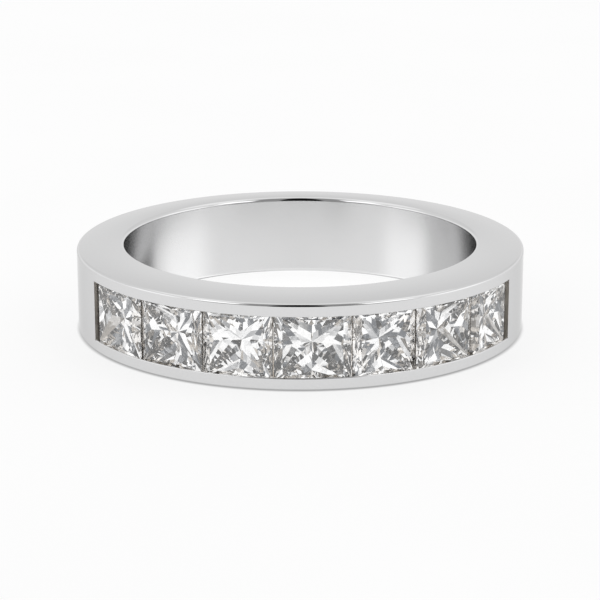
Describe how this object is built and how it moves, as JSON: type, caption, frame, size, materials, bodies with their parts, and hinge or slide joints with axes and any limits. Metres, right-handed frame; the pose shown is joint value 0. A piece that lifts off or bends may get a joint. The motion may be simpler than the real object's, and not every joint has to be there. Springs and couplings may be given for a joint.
{
  "type": "channel set band",
  "caption": "Polished white metal ring with a flat-sided band and a channel across its front that holds a close row of square cut clear stones.",
  "frame": {"origin": "centre of the finger bore, on its axis at half the band's width", "axes": "+Z along the finger bore, up as the ring lies on its side; -Y to the middle of the channel"},
  "size_m": [0.0214, 0.0214, 0.004],
  "materials": {
    "white_metal": "polished white gold",
    "clear_stone": "clear cut stone, polished facets"
  },
  "bodies": {
    "root": {"band": "white_metal", "stone_1": "clear_stone", "stone_2": "clear_stone", "stone_3": "clear_stone", "stone_4": "clear_stone", "stone_5": "clear_stone", "stone_6": "clear_stone", "stone_7": "clear_stone"}
  },
  "joints": []
}
